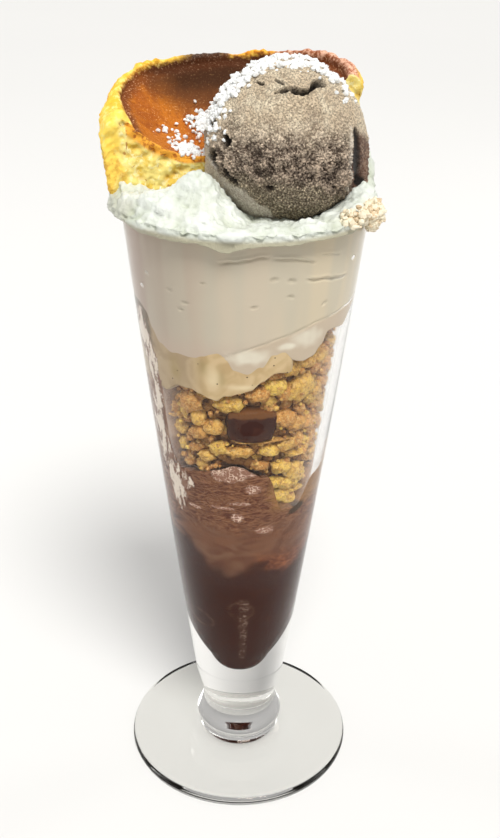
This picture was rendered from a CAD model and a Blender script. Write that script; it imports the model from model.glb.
import math
import random

import bpy
import numpy as np
from mathutils import Matrix, Vector, noise


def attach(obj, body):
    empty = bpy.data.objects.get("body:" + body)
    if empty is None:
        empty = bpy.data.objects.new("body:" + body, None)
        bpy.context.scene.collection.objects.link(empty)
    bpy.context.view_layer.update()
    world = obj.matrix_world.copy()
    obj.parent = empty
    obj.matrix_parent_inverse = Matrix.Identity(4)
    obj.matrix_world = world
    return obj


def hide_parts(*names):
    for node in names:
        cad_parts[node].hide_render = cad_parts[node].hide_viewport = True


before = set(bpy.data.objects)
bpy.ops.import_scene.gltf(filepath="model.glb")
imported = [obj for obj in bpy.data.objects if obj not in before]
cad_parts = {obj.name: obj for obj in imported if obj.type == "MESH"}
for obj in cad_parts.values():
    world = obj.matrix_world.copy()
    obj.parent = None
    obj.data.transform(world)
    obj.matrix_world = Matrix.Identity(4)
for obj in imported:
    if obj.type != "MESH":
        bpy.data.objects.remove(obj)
bpy.ops.object.select_all(action="DESELECT")
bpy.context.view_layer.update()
mm = 0.001  # forms are worked out in millimetres and written to the meshes in metres

# Angles go round the glass from its front, which is -Y, towards +X, in degrees. Heights are in mm.
glassForm = {
    "height": 200.0, "rim": 36.6, "wall": 2.3, "bulge": 0.6,
    "coneFoot": 30.9, "coneRadius": 15.7,  # where the cone starts, and its radius there
    "floor": 35.0, "taper": 23.0, "power": 0.6,  # the inside, and how it rounds off above its floor
    "foot": 39.6, "flat": 38.0, "neck": 13.1, "knop": 15.4, "edge": 3.2,  # radii, and the foot's thickness
    "sides": 144,
}
wallReach = 0.12  # how far wet food reaches into the wall

# Where each filling ends against the wall, as (angle, height), and its height in the middle.
puddingEdge = [(-110, 89), (-60, 87), (-40, 83), (-20, 78), (20, 78), (38, 76), (62, 84), (120, 88),
               (180, 84)]
jellyEdge = [(-90, 121), (-40, 122), (-4, 127), (18, 122), (32, 109), (46, 108), (60, 117), (90, 122),
             (135, 117), (180, 121)]
granolaEdge = [(-90, 151), (-70, 151), (-52, 150.3), (-40, 153.8), (-31, 153.9), (-25, 152.3), (-16, 150.8),
               (-9, 153), (4, 154.8), (11, 157.6), (18, 160.2), (33, 160.6), (90, 158), (180, 154)]
creamEdge = [(-100, 174), (-70, 174.5), (-61, 172.5), (-57, 168.2), (-51, 164.1), (-42, 162.4), (-30, 162.8),
             (-14, 165), (-9, 163), (-5, 160), (3, 158.8), (10, 160.6), (16, 164.6), (22, 165.4), (28, 162.4),
             (34, 161.5), (41, 162.8), (46, 165.2), (50, 169), (64, 168.8), (78, 173), (120, 172), (180, 167)]
middles = {"pudding": 80, "jelly": 119, "granola": 152, "cream": 166}


# Shapes: angles, heights and points, in mm

def eased(share):
    share = np.clip(share, 0, 1)
    return share * share * (3 - 2 * share)


def through(p, q, r, s, t):  # a smooth line through four values, from q to r as t goes from 0 to 1
    return 0.5 * (2 * q + (r - p) * t + (2 * p - 5 * q + 4 * r - s) * t**2 + (3 * q - p - 3 * r + s) * t**3)


def around(stops, angle):  # the value at this angle, eased between the nearest two (angle, value) stops
    at, value = np.array(sorted((a % 360, v) for a, v in stops), float).T
    at = np.concatenate([at[-1:] - 360, at, at[:1] + 360])
    value = np.concatenate([value[-1:], value, value[:1]])
    angle = np.asarray(angle, float) % 360
    low = np.clip(np.searchsorted(at, angle, side="right") - 1, 0, len(at) - 2)
    return value[low] + (value[low + 1] - value[low]) * eased((angle - at[low]) / (at[low + 1] - at[low]))


def outsideRadius(height):
    g = glassForm
    share = (height - g["coneFoot"]) / (g["height"] - g["coneFoot"])
    return g["coneRadius"] + (g["rim"] - g["coneRadius"]) * share + g["bulge"] * 4 * share * (1 - share)


def insideRadius(height):
    above = np.maximum(height - glassForm["floor"], 0) / glassForm["taper"]
    return (outsideRadius(height) - glassForm["wall"]) * np.tanh(above ** glassForm["power"])


def polar(angle, radius, height):
    turn = np.radians(angle)
    parts = np.broadcast_arrays(radius * np.sin(turn), -radius * np.cos(turn), np.asarray(height, float))
    return np.stack(parts, axis=-1)


def angleOf(points):
    return np.degrees(np.arctan2(points[..., 0], -points[..., 1]))


def uneven(points, size, shift=0.0):  # smooth noise from -1 to 1, about size mm from hump to hump
    found = [noise.noise(p) for p in (points / size + shift).reshape(-1, 3).tolist()]
    return np.array(found).reshape(points.shape[:-1])


def grains(points, size, shift=0.0):  # distances to the nearest and the next grain, as shares of size
    found = [noise.voronoi(p)[0] for p in (points / size + shift).tolist()]
    return np.array([d[0] for d in found]), np.array([d[1] for d in found])


def wobble(angle, size, shift=0.0):  # noise along an edge that runs round the glass
    return uneven(polar(np.asarray(angle, float), 28.0, 0.0), size, shift)


def fromSpot(points, spot, ragged, size):  # 0 in the middle of a spot on the wall, 1 along its ragged edge
    middle, level, wide, tall = spot
    away = np.hypot((angleOf(points) - middle) / wide, (points[:, 2] - level) / tall)
    return away + ragged * uneven(points, size, level)


# Pieces: how a mesh is made, shaped and handed over

def pointsOf(piece):
    points = np.empty(len(piece.data.vertices) * 3)
    piece.data.vertices.foreach_get("co", points)
    return points.reshape(-1, 3) / mm


def setPoints(piece, points):
    piece.data.vertices.foreach_set("co", (np.asarray(points) * mm).astype(np.float32).ravel())
    piece.data.update()


def outwards(piece):
    found = np.empty(len(piece.data.vertices) * 3)
    piece.data.vertex_normals.foreach_get("vector", found)
    return found.reshape(-1, 3)


def swell(piece, amount):  # moves every point along its normal, by mm
    setPoints(piece, pointsOf(piece) + outwards(piece) * np.asarray(amount)[:, None])


def selectOnly(*pieces):  # the first one becomes the active one
    bpy.ops.object.select_all(action="DESELECT")
    for piece in pieces:
        piece.select_set(True)
    bpy.context.view_layer.objects.active = pieces[0]


def newPiece(name, shape, **settings):
    bpy.ops.object.select_all(action="DESELECT")
    getattr(bpy.ops.mesh, f"primitive_{shape}_add")(**settings)
    bpy.ops.object.transform_apply(location=True, rotation=True, scale=True)
    piece = bpy.context.object
    piece.name = piece.data.name = name
    return piece


def moulded(name, sides, rows, place):  # a ball whose rows, from the pole below, are set by place(angle, row)
    piece = newPiece(name, "uv_sphere", segments=sides, ring_count=rows, radius=1)
    ball = pointsOf(piece) * mm
    row = np.rint(rows * (1 - np.arccos(np.clip(ball[:, 2], -1, 1)) / math.pi)).astype(int)
    setPoints(piece, place(angleOf(ball), row))
    return piece


def mark(piece, **marks):  # each a value for every point, for the finish to read
    for name, values in marks.items():
        made = piece.data.attributes.new(name, "FLOAT", "POINT")
        made.data.foreach_set("value", np.asarray(values, np.float32))


def smoothed(piece, angle=180.0):
    selectOnly(piece)
    if angle < 180:
        bpy.ops.object.shade_smooth_by_angle(angle=math.radians(angle))
    else:
        bpy.ops.object.shade_smooth()
    return piece


def thickened(piece, thick):
    selectOnly(piece)
    modifier = piece.modifiers.new("Solidify", "SOLIDIFY")
    modifier.thickness = thick * mm
    modifier.offset = 0
    bpy.ops.object.modifier_apply(modifier=modifier.name)
    return piece


def joined(name, parts):
    selectOnly(*parts)
    bpy.ops.object.join()
    parts[0].name = parts[0].data.name = name
    return parts[0]


def copied(base, points, **marks):  # a copy with its own mesh, and one value for all of it under each mark
    made = base.copy()
    made.data = base.data.copy()
    bpy.context.scene.collection.objects.link(made)
    setPoints(made, points)
    mark(made, **{name: np.full(len(points), value) for name, value in marks.items()})
    return made


def dropped(*pieces):
    for piece in pieces:
        bpy.data.objects.remove(piece)


def placed(piece, finish, node):  # dressed, riding on the body, standing for its node
    piece.data.materials.clear()
    piece.data.materials.append(finish)
    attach(piece, "root")
    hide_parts(node)
    return piece


def anyTurn(draw):
    axis = Vector((draw.gauss(0, 1), draw.gauss(0, 1), draw.gauss(0, 1))).normalized()
    return np.array(Matrix.Rotation(draw.uniform(0, math.tau), 3, axis))


# Finishes: how a material is made

class Flow:  # a socket that takes part in sums
    def __init__(self, finish, socket):
        self.finish, self.socket = finish, socket

    def maths(self, operation, first, second, clamp=False):
        return self.finish.node("Math", {"operation": operation, "use_clamp": clamp}, 0, first, second)

    def __add__(self, other):
        return self.maths("ADD", self, other)

    def __sub__(self, other):
        return self.maths("SUBTRACT", self, other)

    def __rsub__(self, other):
        return self.maths("SUBTRACT", other, self)

    def __mul__(self, other):
        return self.maths("MULTIPLY", self, other)

    __radd__ = __add__
    __rmul__ = __mul__

    def clamped(self):  # kept between 0 and 1
        return self.maths("ADD", self, 0.0, True)

    def over(self, other):  # the larger of the two
        return self.maths("MAXIMUM", self, other)


class Finish:  # a material being made
    def __init__(self, name, **values):
        self.material = bpy.data.materials.new(name)
        self.material.use_nodes = True
        self.tree = self.material.node_tree
        self.shader = self.tree.nodes["Principled BSDF"]
        self.place = self.node("TexCoord", {}, "Object")
        for key, value in values.items():
            self.shader.inputs[key.replace("_", " ")].default_value = value

    def node(self, kind, settings, output, *values, **named):  # its sockets by place or by name
        node = self.tree.nodes.new("ShaderNode" + kind)
        for key, value in settings.items():
            setattr(node, key, value)
        for key, value in [*enumerate(values), *named.items()]:
            key = key.replace("_", " ") if isinstance(key, str) else key
            if isinstance(value, Flow):
                self.tree.links.new(value.socket, node.inputs[key])
            else:
                node.inputs[key].default_value = value
        return Flow(self, node.outputs[output])

    def set(self, key, flow):
        self.tree.links.new(flow.socket, self.shader.inputs[key])

    def moved(self, stretch=(1, 1, 1), shift=(0, 0, 0)):
        return self.node("Mapping", {}, 0, self.place, Location=shift, Scale=stretch)

    def clouds(self, size, detail=2.0, swirl=0.0, rough=0.5, place=None):  # 0 to 1, size in mm
        return self.node("TexNoise", {}, "Fac", Vector=place or self.place, Scale=1 / (size * mm),
                         Detail=detail, Roughness=rough, Distortion=swirl)

    def specks(self, size, feature="F1", place=None):
        return self.node("TexVoronoi", {"feature": feature}, "Distance", Vector=place or self.place,
                         Scale=1 / (size * mm))

    def ramp(self, value, low, high):  # 0 at low, 1 at high
        return self.node("MapRange", {"interpolation_type": "SMOOTHSTEP"}, 0, value, low, high, 0.0, 1.0)

    def mix(self, first, second, share):  # of two colours
        node = self.tree.nodes.new("ShaderNodeMix")
        node.data_type = "RGBA"
        for key, value in ((0, share), (6, first), (7, second)):  # where a colour mix has its sockets
            if isinstance(value, Flow):
                self.tree.links.new(value.socket, node.inputs[key])
            else:
                node.inputs[key].default_value = value if key == 0 else (*value, 1)
        return Flow(self, node.outputs[2])

    def along(self, axis):  # of the point, in mm
        return self.node("SeparateXYZ", {}, axis, self.place) * (1 / mm)

    def marked(self, name):
        return self.node("Attribute", {"attribute_name": name}, "Fac")

    def bumps(self, height, depth):  # depth in mm
        self.set("Normal", self.node("Bump", {}, 0, Strength=1.0, Distance=depth * mm, Height=height))


def clearGlass():
    finish = Finish("clearGlass", Base_Color=(0.93, 0.925, 0.91, 1), Roughness=0.0, IOR=1.45,
                    Transmission_Weight=1.0, Specular_Tint=(0.42, 0.36, 0.32, 1))
    tree = finish.tree
    clear = tree.nodes.new("ShaderNodeBsdfTransparent")
    clear.inputs[0].default_value = (0.93, 0.93, 0.92, 1)
    shadow = finish.node("LightPath", {}, "Is Shadow Ray")
    straight = shadow.over(finish.node("LightPath", {}, "Is Diffuse Ray"))  # such light isn't bent
    both = tree.nodes.new("ShaderNodeMixShader")
    tree.links.new(straight.socket, both.inputs[0])
    tree.links.new(finish.shader.outputs[0], both.inputs[1])
    tree.links.new(clear.outputs[0], both.inputs[2])
    tree.links.new(both.outputs[0], tree.nodes["Material Output"].inputs[0])
    return finish.material


# The glass

def turned(name, outline, sides):  # outline as (radius, height), from the underside out, up and down inside
    radius, height = outline[0]
    glass = newPiece(name, "circle", vertices=sides, radius=radius * mm, fill_type="TRIFAN",
                     location=(0, 0, height * mm))
    bpy.ops.object.mode_set(mode="EDIT")
    bpy.ops.mesh.select_all(action="SELECT")
    for (radius, height), (nextRadius, nextHeight) in zip(outline, outline[1:]):
        bpy.ops.mesh.extrude_region_move(TRANSFORM_OT_translate={"value": (0, 0, (nextHeight - height) * mm)})
        share = nextRadius / radius
        bpy.ops.transform.resize(value=(share, share, 1), center_override=(0, 0, nextHeight * mm))
    bpy.ops.mesh.select_all(action="SELECT")
    bpy.ops.mesh.normals_make_consistent(inside=False)
    bpy.ops.object.mode_set(mode="OBJECT")
    return glass


def curved(stops, steps):  # a smooth line through (radius, height) stops
    made = []
    ends = [stops[0], *stops, stops[-1]]
    for four in zip(ends, ends[1:], ends[2:], ends[3:]):
        made += [tuple(through(*values, step / steps) for values in zip(*four)) for step in range(steps)]
    return [*made, stops[-1]]


def makeGlass():
    g = glassForm
    edge, foot, knop, neck = g["edge"], g["foot"], g["knop"], g["neck"]
    base = [(g["flat"], 0.0), (foot - 0.35, 0.25), (foot, edge * 0.45), (foot - 0.25, edge * 0.78),
            (foot - 0.9, edge), (foot - 1.7, edge + 0.02), (foot - 2.3, edge - 0.25)]
    stem = curved([(foot - 2.9, edge - 0.2), (32.0, 3.35), (24.0, 4.1), (18.0, 5.2), (knop - 0.9, 7.2),
                   (knop - 0.3, 8.8), (knop, 11.0), (knop - 0.7, 13.6), (neck + 0.15, 16.8), (neck, 20.5),
                   (g["coneRadius"] - 1.0, 26.9), (g["coneRadius"], g["coneFoot"])], 4)
    lip = g["wall"] / 2
    top = g["height"] - lip
    side = [(outsideRadius(z), z) for z in np.linspace(34, top, 40)]
    middle = outsideRadius(top) - lip
    turns = np.radians(range(10, 180, 15))
    brim = [(middle + lip * math.cos(turn), top + lip * math.sin(turn)) for turn in turns]
    heights = g["floor"] + (198.8 - g["floor"]) * np.linspace(1, 0, 90)[:-1] ** 2.2  # closer near the floor
    inside = [(float(insideRadius(z)), z) for z in heights]
    outline = base + stem + side[:-1] + brim + [row for row in inside if row[0] > 0.25]
    glass = turned("glassBody", [(float(r), float(z)) for r, z in outline], g["sides"])
    smoothed(glass, 50)
    return placed(glass, clearGlass(), "glass")


# The fillings

def edgeLine(stops, size, depth, shift):  # a filling's edge with its small waves
    def line(angle):
        waves = wobble(angle, size, shift) + 0.5 * wobble(angle, size / 2.6, shift)
        return around(stops, angle) + depth * waves

    return line


puddingLine = edgeLine(puddingEdge, 8, 0.8, 3.1)
jellyLine = edgeLine(jellyEdge, 6, 1.1, 7.7)
granolaLine = edgeLine(granolaEdge, 6, 1.0, 1.3)
creamLine = edgeLine(creamEdge, 5, 0.7, 5.9)


def surface(line, middle):  # a filling's top: its height at an angle and a share of the radius
    return lambda angle, share: middle + (line(angle) - middle) * share * share


puddingTop = surface(puddingLine, middles["pudding"])
jellyTop = surface(jellyLine, middles["jelly"])
granolaTop = surface(granolaLine, middles["granola"])
creamFoot = surface(creamLine, middles["cream"])


def intoWall(angle, level):  # wet food reaches a little into the wall
    return np.full_like(level, wallReach)


def filling(name, floor, roof, reach, sides=216, floorRows=5, wallRows=44, roofRows=10, rounding=0.0):
    last = floorRows + wallRows + roofRows

    def place(angle, row):
        low, high = floor(angle, 1.0), roof(angle, 1.0)
        floorShare = np.clip(row / floorRows, 0, 1)
        roofShare = np.clip((last - row) / roofRows, 0, 1)
        up = np.clip((row - floorRows) / wallRows, 0, 1)
        level = low + (high - low) * up
        fromEnd = np.clip(np.minimum(up, 1 - up) * (high - low) / max(rounding, 0.01), 0, 1)
        corner = rounding * (1 - np.sqrt(np.clip(1 - (1 - fromEnd) ** 2, 0, 1)))
        edge = insideRadius(level) + reach(angle, level) - corner
        inFloor, inRoof = row < floorRows, row > last - roofRows
        radius = edge * np.where(inFloor, floorShare, np.where(inRoof, roofShare, 1))
        height = np.where(inFloor, floor(angle, floorShare), np.where(inRoof, roof(angle, roofShare), level))
        return polar(angle, np.maximum(radius, 0), height)

    return moulded(name, sides, last, place)


cloudEdge = [(-90, 100), (-62, 99), (-49, 94), (-39, 89.5), (-27, 83.5), (-10, 82.5), (4, 85), (19, 87.5),
             (30, 84), (45, 81.5), (70, 84), (90, 92), (140, 86), (180, 94)]


def cloudShare(piece):  # where the jelly has clouded the pudding below it, from 0 to 1
    points = pointsOf(piece)
    swirl = 2.6 * uneven(points * np.array([1, 1, 1.8]), 7, 2.6) + 1.2 * uneven(points, 2.6, 8.8)
    return eased((points[:, 2] - around(cloudEdge, angleOf(points)) - swirl + 2.6) / 8)


def cocoaColour(finish):  # dark pudding that clouds into mauve jelly
    drift = finish.clouds(11, 4, 1.4, 0.55, finish.moved(stretch=(1, 1, 1.7)))
    fine = finish.clouds(3.2, 4, 1.8, 0.6, finish.moved(stretch=(1, 1, 2.2), shift=(0.3, 0.1, 0)))
    dark = finish.mix((0.032, 0.004, 0.0006), (0.056, 0.012, 0.003), finish.ramp(fine, 0.5, 0.75))
    grey = finish.mix((0.125, 0.046, 0.022), (0.18, 0.083, 0.046), finish.ramp(drift, 0.4, 0.66))
    rust = finish.mix((0.12, 0.03, 0.009), (0.27, 0.085, 0.03), finish.ramp(fine, 0.4, 0.62))
    low = finish.ramp(finish.along("Z") - drift * 12, 88, 80)
    cloud = finish.mix(grey, rust, finish.ramp(finish.along("X") + (drift - 0.5) * 14, 1, 8) * low)
    return finish.mix(dark, cloud, finish.marked("cloud"))


def makePudding():
    look = {"loops": [(-55, 59.5, 19, 3.2), (1, 66.5, 13, 4.2)], "trail": (4, 5.5, 40, 73)}

    def bowl(angle, share):  # hugs the rounded bottom of the glass
        return glassForm["floor"] - 0.2 + 6.0 * np.asarray(share, float) ** 3.2 + 0 * angle

    piece = filling("chocolatePudding", bowl, lambda a, s: puddingTop(a, s) + 0.5, intoWall,
                    sides=240, floorRows=10, wallRows=120)
    points = pointsOf(piece)
    angle, height = angleOf(points), points[:, 2]
    loops = np.zeros(len(points))
    for spot in look["loops"]:
        ring = fromSpot(points, spot, -0.18, 3) - 1
        loops = np.maximum(loops, np.exp(-((ring / 0.17) ** 2)))
    middle, wide, low, high = look["trail"]
    trail = np.exp(-(((angle - middle - 1.5 * uneven(points, 4, 1)) / wide) ** 4))
    trail = trail * eased((height - low) / 4) * eased((high - height) / 4)
    mark(piece, cloud=cloudShare(piece), loops=loops, trail=trail)
    finish = Finish("chocolatePudding", Roughness=0.25, Specular_IOR_Level=0.05)
    faint = finish.marked("loops") * finish.ramp(finish.clouds(2, 3), 0.35, 0.65) * 0.5
    colour = finish.mix(cocoaColour(finish), (0.13, 0.065, 0.04), faint)
    froth = finish.ramp(finish.specks(1.25, "DISTANCE_TO_EDGE"), 0.13, 0.03)
    froth = froth * finish.ramp(finish.clouds(1.8, 2), 0.46, 0.6)
    colour = finish.mix(colour, (0.085, 0.04, 0.024), finish.marked("trail") * 0.35)
    finish.set("Base Color", finish.mix(colour, (0.3, 0.2, 0.15), finish.marked("trail") * froth * 0.8))
    return placed(smoothed(piece, 60), finish.material, "chocolate_pudding")


def makeJelly():
    look = {
        # frothy spots, each its angle, height, half width in degrees and half height
        "froth": [(-9, 124.0, 13, 3.4), (4, 125, 8, 2.2), (-3, 107.1, 5, 1.7), (19, 101.6, 7, 1.2),
                  (-37, 108.8, 6, 0.6), (-14, 110.6, 10, 0.5), (-1, 112.6, 8, 0.5), (8, 118, 6, 1.6)],
        "speck": (47, 107.2, 9, 1.5), "speckSlope": 0.12,
    }
    piece = filling("cocoaJelly", lambda a, s: puddingTop(a, s) - 1.0, jellyTop, intoWall,
                    sides=300, wallRows=130)
    points = pointsOf(piece)
    froth = np.zeros(len(points))
    for spot in look["froth"]:
        froth = np.maximum(froth, eased((1.15 - fromSpot(points, spot, 0.25, 2.2)) / 0.3))
    middle, level, wide, tall = look["speck"]
    across = angleOf(points) - middle
    away = np.hypot(across / wide, (points[:, 2] - level - look["speckSlope"] * across) / tall)
    speck = eased((1.1 - away - 0.3 * uneven(points, 1.5, 4)) / 0.3)
    mark(piece, cloud=cloudShare(piece), froth=froth, speck=speck)

    finish = Finish("cocoaJelly", Roughness=0.14, Specular_IOR_Level=0.2)
    base = cocoaColour(finish)
    marbled = finish.clouds(4.6, 5, 2.4, 0.6, finish.moved(stretch=(1, 1, 2.8), shift=(0.05, 0.2, 0.1)))
    broad = finish.clouds(9, 3, 1.2, 0.5, finish.moved(stretch=(1, 1, 2.0)))
    upper = finish.ramp(finish.along("Z") + (broad - 0.5) * 12, 98, 106)
    streaks = finish.mix((0.085, 0.024, 0.011), (0.255, 0.113, 0.055), finish.ramp(marbled, 0.38, 0.64))
    right = finish.ramp(finish.along("X") + (broad - 0.5) * 9, 7, 12)
    amber = right * finish.ramp(finish.along("Z"), 106, 111) * 0.55
    streaks = finish.mix(streaks, (0.36, 0.19, 0.06), amber)
    rising = finish.ramp(broad, 0.42, 0.62) * finish.ramp(finish.along("Z"), 92, 97)
    colour = finish.mix(finish.mix(base, (0.175, 0.07, 0.034), rising), streaks, upper)
    cells = finish.specks(1.15, "DISTANCE_TO_EDGE", finish.moved(stretch=(1, 1, 1.25)))
    bubbles = finish.ramp(cells, 0.13, 0.02) * finish.ramp(finish.clouds(1.6, 2), 0.36, 0.56)
    wet = finish.mix((0.27, 0.13, 0.085), (0.75, 0.56, 0.44), bubbles)
    colour = finish.mix(colour, wet, finish.marked("froth"))
    finish.set("Base Color", finish.mix(colour, (0.035, 0.022, 0.01), finish.marked("speck") * 0.9))
    finish.bumps(finish.clouds(2.2, 3, 1.5), 0.25)
    return placed(smoothed(piece, 60), finish.material, "cocoa_jelly")


def makeCustard():
    look = {
        "folds": [(-23, 160.5, 3.2, 3.0), (-12, 157.5, 2.2, 2.6), (-41, 158, 4, 4)],
        "smears": [(0, 154.9, 9, 0.8), (-17, 157, 3.4, 3.4)],
        "recess": [(10, 0), (26, 0), (42, 10), (104, 10), (128, 0), (180, 0)],  # how far inside the wall
    }

    def floor(angle, share):
        return granolaTop(angle, share) - 1.5 * np.asarray(share, float)

    def reach(angle, level):
        return wallReach - 0.03 - around(look["recess"], angle)

    piece = filling("vanillaCustard", floor, lambda a, s: creamFoot(a, s) + 1.0, reach,
                    sides=300, wallRows=48, rounding=0.5)
    points = pointsOf(piece)
    angle, height = angleOf(points), points[:, 2]
    for name in ("folds", "smears"):
        found = np.zeros(len(points))
        for middle, level, wide, tall in look[name]:
            away = ((angle - middle) / wide) ** 2 + ((height - level) / tall) ** 2
            found = np.maximum(found, np.exp(-away) * (1 + 0.4 * uneven(points, 2.5, level)))
        mark(piece, **{name: np.clip(found, 0, 1)})
    hollow = eased((-56 - angle + 4 * uneven(points, 3, 2)) / 5) * eased((height - 161) / 4)
    mark(piece, hollow=hollow * (angle > -120))
    finish = Finish("vanillaCustard", Roughness=0.32, Specular_IOR_Level=0.1)
    folded = finish.ramp(finish.clouds(7, 2, 1.2, 0.4, finish.moved(stretch=(1, 1, 0.8))), 0.38, 0.62)
    left = finish.mix((0.41, 0.305, 0.19), (0.48, 0.365, 0.235), folded)
    colour = finish.mix((0.53, 0.375, 0.195), (0.64, 0.48, 0.275), folded)
    colour = finish.mix(left, colour, finish.ramp(finish.along("X"), -17, -9))
    colour = finish.mix(colour, (0.36, 0.27, 0.12), finish.marked("folds") * 0.65)
    colour = finish.mix(colour, (0.82, 0.7, 0.47), finish.marked("smears") * 0.6)
    colour = finish.mix(colour, (0.17, 0.12, 0.07), finish.marked("hollow"))
    vanilla = finish.ramp(finish.specks(2.9), 0.1, 0.055)
    finish.set("Base Color", finish.mix(colour, (0.06, 0.035, 0.015), vanilla))
    return placed(smoothed(piece, 60), finish.material, "custard")


# The granola

granolaLook = {
    "seed": 5, "low": 107.0, "high": 168, "rowStep": 3.5, "spacing": 4.5, "depths": (0.0, 2.6), "crumbs": 900,
    "coreDepth": 4.0, "wetFrom": -52, "wetTo": -122,
    "rise": [(10, 0), (30, 0), (42, 4), (100, 6), (140, 0), (180, 0)],
}
pocketForm = {"angle": 6, "height": 140.6, "across": 7.2, "deep": 4.6, "up": 6.2}
# The streak down the left, as (height, middle, half width), with its middle and half width in degrees.
streakBand = [(105, -52, 5), (110, -55, 12), (115, -52, 17), (119, -53, 18), (124, -61, 13), (129, -65, 10),
              (139, -66, 9), (144, -64, 8), (150, -61, 7), (155, -63, 8), (160, -67, 10), (166, -71, 11),
              (172, -73, 9)]


def granolaRoof(angle, share=1.0):
    rise = around(granolaLook["rise"], angle) * eased((share - 0.76) / 0.21)
    return np.minimum(granolaTop(angle, share) + rise, creamFoot(angle, share) - 0.6)


def shapedPiece(name, kind, draw):  # one bit of granola about 1 mm in radius, to be copied
    piece = newPiece(name, "ico_sphere", subdivisions=1 if kind == "crumb" else 3, radius=mm)
    points = pointsOf(piece)
    shift = draw.uniform(0, 50)
    if kind == "puff":
        wrinkles = uneven(points, 0.8, shift) * 0.18 + uneven(points, 0.3, shift) * 0.14
        groove = 0.2 * np.exp(-(points[:, 0] / 0.2) ** 2) * (points[:, 2] > -0.2)
        points *= (1 + wrinkles - groove)[:, None] * np.array([1.0, 0.85, 0.9])
    elif kind == "flake":
        wrinkles = uneven(points, 0.8, shift) * 0.3 + uneven(points, 0.35, shift) * 0.22
        points *= (1 + wrinkles)[:, None] * np.array([1.15, 0.95, 0.32])
        curl = 0.45 * (points[:, 0] ** 2) - 0.3 * points[:, 1] * points[:, 0]
        points[:, 2] += curl + uneven(points, 0.7, shift + 9) * 0.25
    elif kind == "cluster":
        near, _ = grains(points, 0.55, shift)
        knobs = 0.78 + 0.55 * (0.5 - near) + uneven(points, 0.3, shift) * 0.2
        points *= knobs[:, None] * np.array([1.12, 0.92, 0.9])
        points *= (1 + 0.2 * uneven(points, 1.3, shift + 4))[:, None]
    else:
        points *= (1 + uneven(points, 0.7, shift) * 0.45)[:, None]
    setPoints(piece, points)
    return smoothed(piece)


def inPocket(angle, height, margin):
    across = np.radians(angle - pocketForm["angle"]) * insideRadius(height) / pocketForm["across"]
    return np.hypot(across, (height - pocketForm["height"]) / pocketForm["up"]) < margin


def bandAt(height):  # the streak's middle and half width, in degrees
    rows = np.array(streakBand, float)
    return np.interp(height, rows[:, 0], rows[:, 1]), np.interp(height, rows[:, 0], rows[:, 2])


def againstWall(points, angle, height, gap):  # moved out until they are a gap short of the wall
    points = points + polar(angle, insideRadius(height) - 4.0, height)
    over = np.max(np.hypot(points[:, 0], points[:, 1]) - insideRadius(points[:, 2])) + gap
    return points - polar(angle, over, 0.0)


# Bits that stand out against the glass: kind, angle, height, radii in mm, and how yellow.
granolaFeatures = [
    ("puff", 42, 160.6, (3.4, 3.0, 3.3), 0.72), ("puff", 21, 153.4, (3.7, 3.0, 3.2), 1.0),
    ("cluster", 41, 151.6, (6.4, 4.0, 6.4), 0.8), ("cluster", 9, 151.2, (4.0, 3.0, 3.2), 0.5),
    ("puff", 34, 113.2, (3.6, 3.0, 3.0), 0.95), ("cluster", -9, 147.8, (4.8, 3.4, 3.8), 0.85),
    ("flake", 8, 134.6, (8.0, 2.6, 1.5), 0.62), ("puff", 20, 131.2, (3.4, 2.8, 2.4), 0.9),
    ("puff", -20, 139.2, (3.4, 2.8, 3.0), 0.68), ("cluster", 29, 141.5, (4.0, 3.2, 4.2), 0.42),
    ("cluster", 39, 139.0, (3.6, 3.0, 3.6), 0.6), ("cluster", 52, 137.5, (4.2, 3.2, 5.2), 0.45),
    ("cluster", -17, 132.2, (3.4, 2.8, 3.0), 0.85), ("cluster", -3, 131.2, (4.8, 3.0, 2.6), 0.7),
    ("cluster", -36, 147.0, (5.2, 3.4, 4.8), 0.42), ("cluster", -31, 136.4, (3.8, 3.0, 3.2), 0.6),
    ("cluster", 33, 132.4, (3.6, 3.0, 3.4), 0.72), ("cluster", 44, 121.0, (4.4, 3.2, 4.4), 0.8),
    ("cluster", -26, 128.6, (3.4, 2.8, 2.4), 0.75), ("flake", 40, 128.0, (4.2, 3.0, 3.0), 0.8),
    ("cluster", 30, 124.0, (3.6, 2.8, 3.2), 0.85), ("cluster", 38, 117.4, (4.2, 3.0, 3.4), 0.95),
    ("cluster", 27, 118.6, (3.2, 2.6, 2.8), 0.9), ("flake", 45, 114.0, (3.4, 2.6, 2.4), 0.9),
    ("cluster", 51, 118.0, (3.2, 2.8, 3.0), 0.85), ("puff", 41, 111.4, (2.8, 2.4, 2.4), 0.8),
]


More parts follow.
